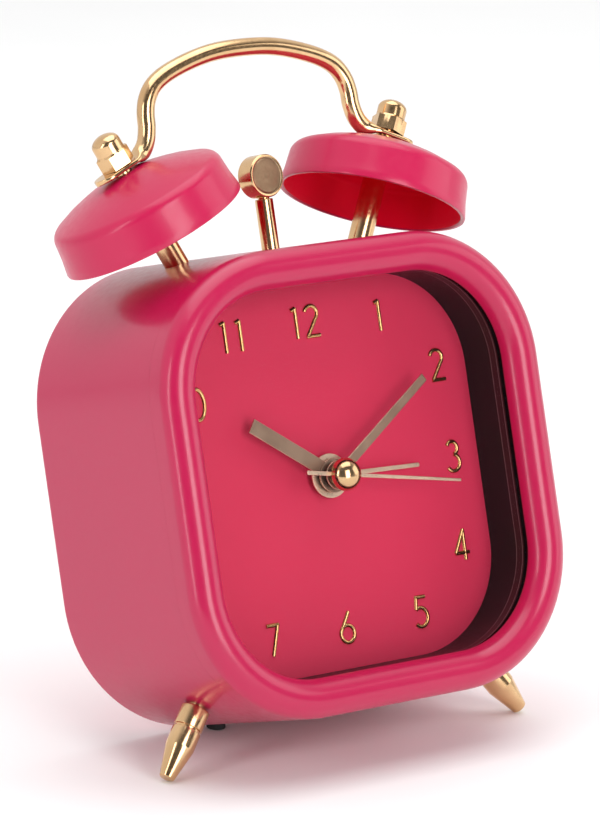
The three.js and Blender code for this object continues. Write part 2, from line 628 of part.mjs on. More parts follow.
function buildControls() {
  for (const [name, arbor] of [["time", SETTING_ARBOR], ["alarm", ALARM_ARBOR]]) {
    const grip = turned([
      [0, 0], [KNOB_R - 0.4, 0], [KNOB_R, 0.4], [KNOB_R, KNOB_L - 0.6], [KNOB_R - 0.6, KNOB_L], [0, KNOB_L],
    ], 24).translate(0, KNOB_FRONT, 0);
    const bore = rod(ARBOR_R + GAP, 20, ARBOR_END + GAP, 16);
    addPiece(`${name}_set_knob`, cut(grip, bore).translate(arbor.x, 0, arbor.z), "black");
  }
  const { halfW, halfH, neckHalf, back } = SWITCH;
  const slider = join(
    box(-neckHalf, neckHalf, 20.6, back, -0.8, 0.8),
    box(-halfW, halfW, COVER_FRONT + COVER_T + 0.4, back, -halfH, halfH),
    box(-halfW, halfW, 20, COVER_FRONT - 0.4, -halfH, halfH),
  );
  addPiece("alarm_switch", slider.translate(SWITCH.x, 0, SWITCH.z), "black");
}

buildCase();
buildFront();
buildBells();
buildHandle();
buildFeet();
buildPads();
buildHammer();
buildMovement();
buildHands();
buildCover();
buildBattery();
buildControls();

// ---- stand the leaning clock on the ground, centred on its own box ----
clock.updateMatrixWorld(true);
const extent = new THREE.Box3().setFromObject(clock, true);
const centre = extent.getCenter(new THREE.Vector3());
leaning.position.set(-centre.x, -centre.y, -extent.min.z);

export default clock;
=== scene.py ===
import json
import math

import bmesh
import bpy
from mathutils import Matrix, Vector


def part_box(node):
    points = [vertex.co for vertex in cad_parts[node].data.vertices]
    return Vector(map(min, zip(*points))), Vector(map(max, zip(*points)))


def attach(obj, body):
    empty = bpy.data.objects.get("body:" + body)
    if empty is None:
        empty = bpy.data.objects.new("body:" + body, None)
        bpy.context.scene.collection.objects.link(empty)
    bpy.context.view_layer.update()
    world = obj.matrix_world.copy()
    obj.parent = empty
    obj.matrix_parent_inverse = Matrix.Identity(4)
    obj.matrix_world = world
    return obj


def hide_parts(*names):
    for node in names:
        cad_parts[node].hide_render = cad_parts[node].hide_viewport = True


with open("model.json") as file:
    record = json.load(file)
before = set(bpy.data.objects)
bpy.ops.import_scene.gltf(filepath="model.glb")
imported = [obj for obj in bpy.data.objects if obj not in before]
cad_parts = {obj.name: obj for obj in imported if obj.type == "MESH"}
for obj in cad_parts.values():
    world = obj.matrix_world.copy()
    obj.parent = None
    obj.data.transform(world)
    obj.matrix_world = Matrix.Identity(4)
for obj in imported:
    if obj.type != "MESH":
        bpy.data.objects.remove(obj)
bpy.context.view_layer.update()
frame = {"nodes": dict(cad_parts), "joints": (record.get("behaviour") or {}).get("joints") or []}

# ---- the clock's own upright frame: X right, Y back, Z up, in millimetres from the hand axis ----
MM = 0.001
JOINTS = {joint["name"]: joint for joint in frame["joints"]}
BACK = Vector(JOINTS["minute_hand_turn"]["axis"]).normalized()
RIGHT = Vector((1, 0, 0))
UP = RIGHT.cross(BACK)
HAND_AXIS = Vector(JOINTS["minute_hand_turn"]["pos_m"])
TURN = Matrix((RIGHT, BACK, UP)).transposed()
PLACE = Matrix.Translation(HAND_AXIS) @ TURN.to_4x4() @ Matrix.Scale(MM, 4)

BODY = "clock_body"
GAP = 0.3


def own_box(node):
    """A CAD node's lowest and highest corners in the clock's own frame, in millimetres."""
    back_again = PLACE.inverted()
    points = [back_again @ v.co for v in frame["nodes"][node].data.vertices]
    low = Vector([min(p[k] for p in points) for k in range(3)])
    high = Vector([max(p[k] for p in points) for k in range(3)])
    return low, high


BEZEL_LOW, BEZEL_HIGH = own_box("front_bezel")
CASE_LOW, CASE_HIGH = own_box("case_shell")
RING_LOW, RING_HIGH = own_box("spacer_ring")
DIAL_LOW, DIAL_HIGH = own_box("dial_plate")
LENS_LOW, LENS_HIGH = own_box("lens")
COVER_LOW, COVER_HIGH = own_box("rear_cover")

HALF_W = BEZEL_HIGH.x
HALF_H = BEZEL_HIGH.z
CORNER_R = 27.6
BEAD_R = 3.84
FRONT_Y = BEZEL_LOW.y + 0.01
BEAD_Y = FRONT_Y + BEAD_R
CASE_DRAFT = CASE_HIGH.x - HALF_W
CASE_BACK = CASE_HIGH.y - 0.05
INNER_INSET = 2.3
SKIRT_Y = BEAD_Y + 3.2
RING_INSET = 7.3
DIAL_Y = DIAL_LOW.y

BELL_X, BELL_Y, BELL_Z = 26.4, 1.2, 52.4
BELL_TILT = math.radians(23.9)
BELL_R = 19.1
BELL_H = 13.2
POST_LEAN = math.radians(2.6)
NUT_FLATS = 6.2
NUT_H = 3.2
NUT_TOP = 6.9
HAMMER_Z = 60.3

# ---- camera, from the clock's own frame ----
CAMERA_AZIMUTH = math.radians(-34.76)
CAMERA_ELEVATION = math.radians(1.18)
CAMERA_ROLL = math.radians(8.08)
CAMERA_DISTANCE = 1088.7
CAMERA_AIM = (-0.99, 13.68)
CAMERA_LENS = 242.05


# ---------------------------------------------------------------- meshes
def link(name, mesh, materials, body, replaced=()):
    """A piece from a mesh in the clock's own frame: placed, shaded, riding on its body."""
    mesh.transform(PLACE)
    obj = bpy.data.objects.new(name, mesh)
    bpy.context.scene.collection.objects.link(obj)
    for material in materials:
        mesh.materials.append(material)
    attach(obj, body)
    if replaced:
        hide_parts(*replaced)
    return obj


def mark_sharp(bm, sharp_degrees=32):
    """Smooth shading, kept off steep edges and off the rims of broad flat faces."""
    limit = math.radians(sharp_degrees)
    for face in bm.faces:
        face.smooth = True
    for edge in bm.edges:
        broad = any(len(face.verts) > 6 for face in edge.link_faces)
        if len(edge.link_faces) == 2 and (broad or edge.calc_face_angle(0) > limit):
            edge.smooth = False


def to_mesh(name, bm, sharp_degrees=32):
    bmesh.ops.remove_doubles(bm, verts=bm.verts, dist=1e-5)
    bmesh.ops.recalc_face_normals(bm, faces=bm.faces)
    mark_sharp(bm, sharp_degrees)
    mesh = bpy.data.meshes.new(name)
    bm.to_mesh(mesh)
    bm.free()
    return mesh


def arc(cx, cy, radius, start, end, steps, radius_y=None):
    """Points of an arc in degrees, ends included."""
    ry = radius if radius_y is None else radius_y
    angles = [math.radians(start + (end - start) * i / steps) for i in range(steps + 1)]
    return [(cx + radius * math.cos(a), cy + ry * math.sin(a)) for a in angles]


def rounded(points, radii, steps=5, closed=False):
    """The outline with each corner turned into a fillet of its radius."""
    out = []
    count = len(points)
    for i, point in enumerate(points):
        here = Vector(point)
        radius = radii[i] if isinstance(radii, (list, tuple)) else radii
        if radius <= 0 or (not closed and i in (0, count - 1)):
            out.append(tuple(here))
            continue
        before = Vector(points[i - 1]) - here
        after = Vector(points[(i + 1) % count]) - here
        half = before.angle(after) / 2
        reach = min(radius / math.tan(half), 0.49 * before.length, 0.49 * after.length)
        start = here + before.normalized() * reach
        end = here + after.normalized() * reach
        for k in range(steps + 1):
            t = k / steps
            out.append(tuple(start * (1 - t) ** 2 + here * 2 * t * (1 - t) + end * t ** 2))
    return out


def revolve(profile, segments=96):
    """A closed turned solid about Z from (radius, height) points, with its ends on the axis or joined."""
    bm = bmesh.new()
    rings = []
    for radius, height in profile:
        if radius < 1e-6:
            rings.append([bm.verts.new((0, 0, height))])
            continue
        ring = []
        for k in range(segments):
            a = 2 * math.pi * k / segments
            ring.append(bm.verts.new((radius * math.cos(a), radius * math.sin(a), height)))
        rings.append(ring)
    pairs = list(zip(rings, rings[1:]))
    if profile[0][0] > 1e-6:
        pairs.append((rings[-1], rings[0]))
    for low, high in pairs:
        for k in range(segments):
            j = (k + 1) % segments
            corners = [low[k % len(low)], low[j % len(low)], high[j % len(high)], high[k % len(high)]]
            unique = list(dict.fromkeys(corners))
            if len(unique) > 2:
                bm.faces.new(unique)
    return bm


def outline_points(steps=28):
    """The case's rounded-square outline as (x, z, normal x, normal z)."""
    points = []
    for quarter, (sx, sz) in enumerate(((1, 1), (-1, 1), (-1, -1), (1, -1))):
        for i in range(steps + 1):
            a = (quarter + i / steps) * math.pi / 2
            nx, nz = math.cos(a), math.sin(a)
            x = sx * (HALF_W - CORNER_R) + CORNER_R * nx
            z = sz * (HALF_H - CORNER_R) + CORNER_R * nz
            points.append((x, z, nx, nz))
    return points


def outline_ring(section, materials_at=None, straight=6):
    """A section of (inward offset, y) points carried round the case's outline."""
    bm = bmesh.new()
    stations = []
    corner = outline_points()
    for i, here in enumerate(corner):
        stations.append(here)
        after = corner[(i + 1) % len(corner)]
        if (Vector(here[:2]) - Vector(after[:2])).length > 8:
            for k in range(1, straight):
                t = k / straight
                mixed = [here[m] * (1 - t) + after[m] * t for m in range(4)]
                stations.append(mixed)
    rows = [[bm.verts.new((x - o * nx, y, z - o * nz)) for o, y in section] for x, z, nx, nz in stations]
    count = len(section)
    for i, row in enumerate(rows):
        following = rows[(i + 1) % len(rows)]
        for j in range(count):
            k = (j + 1) % count
            face = bm.faces.new((row[j], row[k], following[k], following[j]))
            if materials_at:
                face.material_index = materials_at[j]
    return bm


def bridge(bm, rows):
    """Faces between neighbouring closed rows of the same number of points."""
    for low, high in zip(rows, rows[1:]):
        for j in range(len(low)):
            k = (j + 1) % len(low)
            bm.faces.new((low[j], low[k], high[k], high[j]))


def sweep(path, section, side=Vector((0, 1, 0))):
    """A closed section of (across, out) points carried along a flat path; ends are capped."""
    bm = bmesh.new()
    rows = []
    for i, point in enumerate(path):
        before = Vector(path[max(0, i - 1)])
        after = Vector(path[min(len(path) - 1, i + 1)])
        along = (after - before).normalized()
        out = side.cross(along).normalized()
        row = [bm.verts.new(Vector(point) + side * a + out * b) for a, b in section]
        rows.append(row)
    bridge(bm, rows)
    bm.faces.new(rows[0])
    bm.faces.new(list(reversed(rows[-1])))
    return bm


def box_outline(x_low, z_low, x_high, z_high):
    """The four corners of a rectangle in X and Z."""
    return [(x_low, z_low), (x_high, z_low), (x_high, z_high), (x_low, z_high)]


def slab(outline, low, high, bevel=0.1):
    """A plate with a rounded edge from a closed outline in X and Z, between two Y levels."""
    bm = bmesh.new()
    front = [bm.verts.new((x, low, z)) for x, z in outline]
    back = [bm.verts.new((x, high, z)) for x, z in outline]
    count = len(outline)
    bm.faces.new(front)
    bm.faces.new(list(reversed(back)))
    for i in range(count):
        j = (i + 1) % count
        bm.faces.new((front[j], front[i], back[i], back[j]))
    bmesh.ops.recalc_face_normals(bm, faces=bm.faces)
    if bevel:
        rim = [e for e in bm.edges if abs(e.verts[0].co.y - e.verts[1].co.y) < 1e-6]
        bmesh.ops.bevel(bm, geom=rim, offset=bevel, segments=3, profile=0.5, affect="EDGES")
    return bm


def merge(*parts):
    """Several meshes in one."""
    out = bmesh.new()
    for part in parts:
        mesh = bpy.data.meshes.new("part")
        part.to_mesh(mesh)
        part.free()
        out.from_mesh(mesh)
        bpy.data.meshes.remove(mesh)
    return out


def moved(bm, matrix):
    bmesh.ops.transform(bm, matrix=matrix, verts=bm.verts)
    return bm


TO_Y = Matrix.Rotation(-math.pi / 2, 4, "X")  # a turned piece's Z axis becomes Y


def on_bell_axis(side):
    return Matrix.Translation((side * BELL_X, BELL_Y, BELL_Z)) @ Matrix.Rotation(side * BELL_TILT, 4, "Y")


def on_post_axis(side):
    """A post leans out a little more than its bell, pivoting at the bell's crown."""
    crown = Matrix.Translation((0, 0, BELL_H))
    return on_bell_axis(side) @ crown @ Matrix.Rotation(side * POST_LEAN, 4, "Y") @ crown.inverted()


# ---------------------------------------------------------------- materials
def new_material(name):
    material = bpy.data.materials.new(name)
    material.use_nodes = True
    nodes = material.node_tree.nodes
    shader = nodes["Principled BSDF"]
    return material, nodes, material.node_tree.links, shader


def noise(nodes, links, scale, detail=3.0, stretch=(1, 1, 1)):
    """Noise in object space, in cycles per metre, stretched along an axis where asked."""
    place = nodes.new("ShaderNodeTexCoord")
    mapping = nodes.new("ShaderNodeMapping")
    mapping.inputs["Scale"].default_value = stretch
    links.new(place.outputs["Object"], mapping.inputs["Vector"])
    texture = nodes.new("ShaderNodeTexNoise")
    texture.inputs["Scale"].default_value = scale
    texture.inputs["Detail"].default_value = detail
    links.new(mapping.outputs["Vector"], texture.inputs["Vector"])
    return texture.outputs["Fac"]


def ramp(nodes, links, value, low, high, start=0.3, end=0.7):
    node = nodes.new("ShaderNodeValToRGB")
    node.color_ramp.elements[0].position = start
    node.color_ramp.elements[1].position = end
    node.color_ramp.elements[0].color = (*low, 1)
    node.color_ramp.elements[1].color = (*high, 1)
    links.new(value, node.inputs["Fac"])
    return node.outputs["Color"]


def spread(nodes, links, value, low, high):
    node = nodes.new("ShaderNodeMapRange")
    node.inputs["From Min"].default_value = 0.3
    node.inputs["From Max"].default_value = 0.7
    node.inputs["To Min"].default_value = low
    node.inputs["To Max"].default_value = high
    links.new(value, node.inputs["Value"])
    return node.outputs["Result"]


def bump(nodes, links, shader, value, strength, distance):
    node = nodes.new("ShaderNodeBump")
    node.inputs["Strength"].default_value = strength
    node.inputs["Distance"].default_value = distance
    links.new(value, node.inputs["Height"])
    links.new(node.outputs["Normal"], shader.inputs["Normal"])
    return node


def paint(name, colour, shade, roughness, coat, grain=700.0, depth=0.000008, specular=0.36):
    """Sprayed paint: slight colour drift, faint orange peel and a soft clear coat."""
    material, nodes, links, shader = new_material(name)
    drift = noise(nodes, links, 22.0, 2.0)
    links.new(ramp(nodes, links, drift, shade, colour), shader.inputs["Base Color"])
    peel = noise(nodes, links, grain, 2.0)
    links.new(spread(nodes, links, peel, roughness * 0.9, roughness * 1.12), shader.inputs["Roughness"])
    bump(nodes, links, shader, peel, 0.12, depth)
    shader.inputs["Coat Weight"].default_value = coat
    shader.inputs["Coat Roughness"].default_value = 0.17
    shader.inputs["Specular IOR Level"].default_value = specular
    return material


def metal(name, colour, dark, roughness, stretch=(1, 1, 1), scale=1600.0, depth=0.000004):
    """Plated metal: fine polishing lines, faint tarnish and a little uneven gloss."""
    material, nodes, links, shader = new_material(name)
    tarnish = noise(nodes, links, 160.0, 4.0)
    links.new(ramp(nodes, links, tarnish, dark, colour, 0.25, 0.6), shader.inputs["Base Color"])
    lines = noise(nodes, links, scale, 2.0, stretch)
    links.new(spread(nodes, links, lines, roughness * 0.75, roughness * 1.3), shader.inputs["Roughness"])
    bump(nodes, links, shader, lines, 0.3, depth)
    shader.inputs["Metallic"].default_value = 1.0
    return material


def plastic(name, colour, shade, roughness, grain=1400.0, depth=0.00003, specular=0.5):
    """Moulded plastic with a fine spark-eroded grain."""
    material, nodes, links, shader = new_material(name)
    drift = noise(nodes, links, 60.0, 2.0)
    links.new(ramp(nodes, links, drift, shade, colour), shader.inputs["Base Color"])
    pits = noise(nodes, links, grain, 3.0)
    links.new(spread(nodes, links, pits, roughness * 0.85, roughness * 1.15), shader.inputs["Roughness"])
    bump(nodes, links, shader, pits, 0.35, depth)
    shader.inputs["Specular IOR Level"].default_value = specular
    return material


def lens_material():
    material, nodes, links, shader = new_material("clear_lens")
    smear = noise(nodes, links, 40.0, 3.0)
    links.new(spread(nodes, links, smear, 0.02, 0.05), shader.inputs["Roughness"])
    tint = ramp(nodes, links, smear, (0.05, 0.055, 0.06), (0.07, 0.075, 0.08))
    links.new(tint, shader.inputs["Base Color"])
    shader.inputs["Alpha"].default_value = 0.03
    return material


PINK = paint("pink_paint", (0.485, 0.006, 0.068), (0.465, 0.005, 0.064), 0.32, 0.42)
BELL_PINK = paint("bell_paint", (0.54, 0.006, 0.072), (0.52, 0.005, 0.068), 0.36, 0.28)
# The bells' inner faces: a brighter, redder copy of the bell paint, painted light standing in for light
# bouncing round inside each bell.
BELL_INSIDE_PAINTED_LIGHT = paint("bell_inside_painted_bounce_light", (0.88, 0.002, 0.040), (0.85, 0.002, 0.036), 0.6, 0.0, specular=0.1)
DIAL = paint("dial_print", (0.69, 0.022, 0.082), (0.67, 0.020, 0.078), 0.65, 0.0, 2200.0, 0.000004)
RING_BLACK = plastic("ring_black", (0.010, 0.004, 0.005), (0.007, 0.003, 0.004), 0.35, 1400.0, 0.00001, 0.16)
# Dark red bands on the black ring: painted reflection of the pink bezel in the lens edge.
RING_PAINTED_PINK_REFLECTION = plastic("ring_painted_pink_reflection", (0.03, 0.005, 0.008), (0.022, 0.004, 0.006), 0.35, 1400.0, 0.00001, 0.2)
# Fine pale lines on the ring: painted highlights of the lens's front and back edges.
RING_PAINTED_LENS_EDGE_HIGHLIGHT = plastic("ring_painted_lens_edge_highlight", (0.22, 0.14, 0.15), (0.18, 0.11, 0.12), 0.3)
# The bezel lip's inner wall: a darker copy of the pink paint, painted shade for the wall turned away from the
# light.
LIP_PAINTED_SHADE = paint("lip_inside_painted_shade", (0.3, 0.012, 0.04), (0.27, 0.01, 0.035), 0.4, 0.2)
GOLD = metal("polished_gold", (0.76, 0.50, 0.27), (0.64, 0.40, 0.20), 0.17)
HAMMER_FACE = metal("turned_gold", (0.34, 0.23, 0.14), (0.27, 0.18, 0.11), 0.42)
HAND_GOLD = metal("brushed_gold", (0.42, 0.28, 0.20), (0.26, 0.165, 0.115), 0.38, (1, 1, 0.12), 5200.0,
                  0.000006)
NUMERAL_GOLD = metal("numeral_gold", (0.70, 0.40, 0.17), (0.56, 0.30, 0.12), 0.2)
PALE_GOLD = metal("pale_gold", (0.84, 0.62, 0.46), (0.74, 0.53, 0.38), 0.36, (1, 1, 1), 2600.0)
BLACK = plastic("black_plastic", (0.022, 0.022, 0.024), (0.016, 0.016, 0.018), 0.45)
RUBBER = plastic("pad_rubber", (0.012, 0.012, 0.013), (0.008, 0.008, 0.009), 0.75, 900.0, 0.00005)
COVER = plastic("cover_pink", (0.64, 0.04, 0.115), (0.6, 0.036, 0.105), 0.36, 1100.0)
WHITE_PLASTIC = plastic("movement_plastic", (0.72, 0.70, 0.64), (0.66, 0.64, 0.58), 0.5)
STEEL = metal("plain_steel", (0.60, 0.61, 0.63), (0.50, 0.51, 0.53), 0.28)
COPPER = metal("copper_wire", (0.72, 0.30, 0.15), (0.6, 0.22, 0.1), 0.3, (1, 1, 12), 900.0, 0.00003)
BOARD = plastic("circuit_board", (0.03, 0.15, 0.06), (0.02, 0.10, 0.04), 0.4)
SLEEVE = plastic("battery_sleeve", (0.10, 0.11, 0.13), (0.07, 0.08, 0.09), 0.3)
LENS = lens_material()


# ---------------------------------------------------------------- case and front
def spread_at(y):
    """How far the case side lies outside the bezel's outline at this depth."""
    return CASE_DRAFT * max(0, y - BEAD_Y) / (CASE_BACK - BEAD_Y)


def build_case():
    """The drawn shell: a straight side that spreads slightly towards a softened back edge."""
    start = SKIRT_Y + 0.02
    edge = 1.2
    section = [(-spread_at(y), y) for y in (start, start + 0.6, 0, CASE_BACK - edge - 0.3)]
    middle = edge - spread_at(CASE_BACK - edge)
    section += [(middle + edge * x, CASE_BACK - edge + edge * y) for x, y in arc(0, 0, 1, 180, 90, 8)]
    section += [(INNER_INSET - 0.3, CASE_BACK), (INNER_INSET, CASE_BACK - 0.3)]
    section += [(INNER_INSET, COVER_LOW.y - GAP), (INNER_INSET, start + 0.6), (INNER_INSET, start)]
    mesh = to_mesh("case_body", outline_ring(section))
    case = link("case_body", mesh, [PINK], BODY, ["case_shell"])
    drills = [rod_slot()]
    for side in (-1, 1):
        drills.append(moved(revolve([(0, -14), (2.45, -14), (2.45, 0), (0, 0)], 48), on_post_axis(side)))
    carve(case, merge(*drills))


def carve(obj, bm):
    """Cuts a shape drawn in the clock's own frame out of a placed piece."""
    mesh = to_mesh("cutter", bm)
    mesh.transform(PLACE)
    cutter = bpy.data.objects.new("cutter", mesh)
    bpy.context.scene.collection.objects.link(cutter)
    hole = obj.modifiers.new("hole", "BOOLEAN")
    hole.object = cutter
    hole.solver = "EXACT"
    apply_modifiers(obj)
    bpy.data.objects.remove(cutter)


def apply_modifiers(obj):
    bpy.context.view_layer.update()
    graph = bpy.context.evaluated_depsgraph_get()
    baked = bpy.data.meshes.new_from_object(obj.evaluated_get(graph))
    obj.modifiers.clear()
    bm = bmesh.new()
    bm.from_mesh(baked)
    mark_sharp(bm)
    bm.to_mesh(baked)
    bm.free()
    obj.data = baked


def rod_slot():
    """The slot in the case's top that the hammer rod swings in."""
    half_x, half_y, top = 4.4, 2.1, HALF_H + 3
    outline = rounded(box_outline(-half_x, -half_y, half_x, half_y), 2.0, 6, True)
    bm = bmesh.new()
    low = [bm.verts.new((x, y + 0.6, HALF_H - 5)) for x, y in outline]
    high = [bm.verts.new((x, y + 0.6, top)) for x, y in outline]
    bm.faces.new(low)
    bm.faces.new(list(reversed(high)))
    for i in range(len(outline)):
        j = (i + 1) % len(outline)
        bm.faces.new((low[j], low[i], high[i], high[j]))
    bmesh.ops.recalc_face_normals(bm, faces=bm.faces)
    return bm


def build_bezel():
    """The half-round bead round the front, running straight on into the case side, with painted shade on the
    lip's inner wall.
    """
    bead = [(BEAD_R - BEAD_R * math.cos(a), BEAD_Y - BEAD_R * math.sin(a))
            for a in (math.pi * i / 40 for i in range(41))]
    lip = 2 * BEAD_R
    side = [(-spread_at(SKIRT_Y), SKIRT_Y), (-spread_at(BEAD_Y + 1.6), BEAD_Y + 1.6)]
    inside = [(lip + 0.02, BEAD_Y + 0.25), (lip - 0.1, BEAD_Y + 0.3), (INNER_INSET, BEAD_Y + 0.35),
              (INNER_INSET, SKIRT_Y)]
    section = side + bead + inside
    # The lip's inner wall and the faces behind it take the darker pink: painted shade.
    painted_light_and_shade_slots = [0] * len(section)
    for k in range(len(side) + len(bead) - 1, len(section)):
        painted_light_and_shade_slots[k] = 1
    bm = outline_ring(section, painted_light_and_shade_slots)
    link("bezel", to_mesh("bezel", bm), [PINK, LIP_PAINTED_SHADE], BODY, ["front_bezel"])


def build_ring():
    """The dark wall between lens and dial, with two fine pale lines near the lens: the lines are painted
    highlights of the lens edges, and the dark red bands beside them are painted reflections of the pink
    bezel.
    """
    front, back = RING_LOW.y, DIAL_Y - 0.02
    inset = RING_INSET
    levels = [front - 0.1, front + 0.35, front + 0.5, front + 2.3, front + 2.45, back]
    # Painted pink reflection, painted lens-edge highlight, painted pink reflection, painted lens-edge
    # highlight, then the plain black wall.
    painted_light_and_shade_slots = [1, 2, 1, 2, 0]
    section = [(inset, y) for y in levels] + [(3.0, back), (3.0, back - 1.2), (inset - 1.3, back - 1.5),
                                               (inset - 1.3, front - 0.1)]
    materials_at = painted_light_and_shade_slots + [0] * (len(section) - len(painted_light_and_shade_slots))
    bm = outline_ring(section, materials_at)
    link("dial_ring", to_mesh("dial_ring", bm), [RING_BLACK, RING_PAINTED_PINK_REFLECTION, RING_PAINTED_LENS_EDGE_HIGHLIGHT], BODY,
         ["spacer_ring"])


def build_lens():
    inset = 6.0
    outline = [(x - inset * nx, z - inset * nz) for x, z, nx, nz in outline_points()]
    bm = slab(outline, LENS_LOW.y + 0.02, LENS_HIGH.y, 0.2)
    link("front_lens", to_mesh("front_lens", bm), [LENS], BODY, ["lens"])


def build_dial():
    inset = 3.0
    outline = [(x - inset * nx, z - inset * nz) for x, z, nx, nz in outline_points()]
    bm = slab(outline, DIAL_Y, DIAL_HIGH.y, 0.1)
    dial = link("dial_face", to_mesh("dial_face", bm), [DIAL], BODY, ["dial_plate"])
    carve(dial, moved(revolve([(0, -12), (2.9, -12), (2.9, 0), (0, 0)], 48), TO_Y))


# ---------------------------------------------------------------- numerals
NUMERAL_H = 6.35
STROKE = 0.9
STROKE_RISE = 0.4
NUMERALS = {
    "12": (0, 30.6), "1": (18.3, 29.8), "2": (30.6, 18.3), "3": (31.5, -0.2), "4": (30.5, -18.0),
    "5": (18.3, -29.7), "6": (0, -30.1), "7": (-17.6, -30.0), "8": (-30.5, -18.0), "9": (-31.5, -0.2),
    "10": (-29.6, 17.7), "11": (-17.2, 29.8),
}


def strokes_of(digit):
    """A digit as open strokes on a cell one unit high, centred on its own middle."""
    two_top = arc(0, 0.25, 0.235, 165, -25, 16)
    return {
        "0": [arc(0, 0, 0.27, 0, 360, 40, 0.48)],
        "1": [[(-0.17, 0.40), (0.0, 0.47)], [(0.0, 0.48), (0.0, -0.48)]],
        "2": [two_top, [two_top[-1], (-0.21, -0.46)], [(-0.26, -0.46), (0.26, -0.46)]],
        "3": [arc(-0.01, 0.255, 0.2, 155, -75, 16, 0.215), arc(-0.03, -0.2, 0.255, 82, -150, 20, 0.27)],
        "4": [[(0.1, 0.46), (-0.27, -0.25)], [(-0.3, -0.25), (0.25, -0.25)], [(0.1, 0.5), (0.1, -0.48)]],
        "5": [[(0.2, 0.46), (-0.17, 0.46)], [(-0.13, 0.5), (-0.18, 0.08)],
              arc(-0.03, -0.17, 0.265, 128, -140, 24, 0.30)],
        "6": [[(0.12, 0.48), (-0.2, -0.06)], arc(0, -0.2, 0.255, 0, 360, 36, 0.27)],
        "7": [[(-0.23, 0.46), (0.24, 0.46)], [(0.21, 0.48), (-0.1, -0.48)]],
        "8": [arc(0, 0.255, 0.19, 0, 360, 30, 0.21), arc(0, -0.205, 0.25, 0, 360, 34, 0.26)],
        "9": [[(-0.12, -0.48), (0.2, 0.06)], arc(0, 0.2, 0.255, 0, 360, 36, 0.27)],
    }[digit]


def build_numerals():
    half = STROKE / 2
    section = [(0.15, half), (-STROKE_RISE * 0.45, half * 0.92), (-STROKE_RISE, half * 0.3),
               (-STROKE_RISE, -half * 0.3), (-STROKE_RISE * 0.45, -half * 0.92), (0.15, -half)]
    parts = []
    for number, (cx, cz) in NUMERALS.items():
        spread_x = 3.7 if len(number) == 2 else 0
        for k, digit in enumerate(number):
            shift = (k - (len(number) - 1) / 2) * spread_x
            for stroke in strokes_of(digit):
                path = [Vector((cx + shift + x * NUMERAL_H, DIAL_Y, cz + z * NUMERAL_H)) for x, z in stroke]
                parts.append(sweep(path, section))
    bm = merge(*parts)
    link("dial_numerals", to_mesh("dial_numerals", bm, 50), [NUMERAL_GOLD], BODY)


# ---------------------------------------------------------------- bells, posts, nuts
def bell_profile():
    """Outer face, inner face and rolled rim of a bell as (radius, height)."""
    fillet, edge_r, edge_h = 2.5, 18.3, 6.5
    shoulder = [(edge_r - fillet + fillet * x, edge_h + fillet * y) for x, y in arc(0, 0, 1, 6, 68, 9)]
    crown = [(14.0, 10.0), (11.5, 10.85), (9.0, 11.6), (6.5, 12.25), (4.4, 12.75), (3.2, BELL_H - 0.2)]
    outer = [(BELL_R - 0.03, 0.35), (BELL_R - 0.22, 1.6), (BELL_R - 0.5, 3.2)] + shoulder + crown
    outer.append((2.0, BELL_H - 0.2))
    wall = 1.0
    inner = []
    for i, (radius, height) in enumerate(outer):
        before = Vector(outer[max(0, i - 1)])
        after = Vector(outer[min(len(outer) - 1, i + 1)])
        along = (after - before).normalized()
        inner.append((max(2.0, radius - wall * along.y), height + wall * along.x))
    inner[0] = (BELL_R - wall, 0.3)
    lip = [(BELL_R - wall + 0.15, 0.08), (BELL_R - 0.5, 0.0), (BELL_R - 0.1, 0.08)]
    return outer, inner, lip


def build_bells():
    outer, inner, lip = bell_profile()
    for name, side in (("left", -1), ("right", 1)):
        profile = outer + list(reversed(inner)) + lip
        segments = 144
        bm = revolve(profile, segments)
        inside_from = len(outer)
        # The inner faces take the brighter copy of the paint: painted bounce light.
        for index, face in enumerate(bm.faces):
            band = index // segments
            if inside_from <= band < inside_from + len(inner) - 1:
                face.material_index = 1
        moved(bm, on_bell_axis(side))
        mesh = to_mesh(f"bell_dome_{name}", bm, 60)
        link(f"bell_dome_{name}", mesh, [BELL_PINK, BELL_INSIDE_PAINTED_LIGHT], BODY, [f"bell_{name}"])


def build_posts():
    """Each post carries the bell on a shoulder and the cap nut on a thinner stud."""
    post_r, stud_r, foot, shoulder, top = 2.4, 1.7, -14.6, 11.6, 19.2
    corners = [(0, foot), (post_r, foot), (post_r, shoulder), (stud_r, shoulder), (stud_r, top), (0, top)]
    for name, side in (("left", -1), ("right", 1)):
        profile = rounded(corners, 0.2, 3)
        bm = moved(revolve(profile, 64), on_post_axis(side))
        link(f"post_{name}", to_mesh(f"post_{name}", bm), [GOLD], BODY,
             [f"bell_post_{name}"])


def hex_nut(flats, low, high, chamfer):
    """A hexagonal body whose upper corners are turned off in a cone."""
    bm = bmesh.new()
    radius = flats / math.sqrt(3)
    levels = [(low, radius), (high - chamfer, radius), (high, flats / 2 * 0.97)]
    rows = []
    sides, per_side = 6, 8
    for height, reach in levels:
        row = []
        for k in range(sides * per_side):
            a = 2 * math.pi * k / (sides * per_side)
            local = (a % (math.pi / 3)) - math.pi / 6
            flat = flats / 2 / math.cos(local)
            row.append(bm.verts.new((min(flat, reach) * math.cos(a), min(flat, reach) * math.sin(a), height)))
        rows.append(row)
    bridge(bm, rows)
    bm.faces.new(list(reversed(rows[0])))
    bm.faces.new(rows[-1])
    return bm


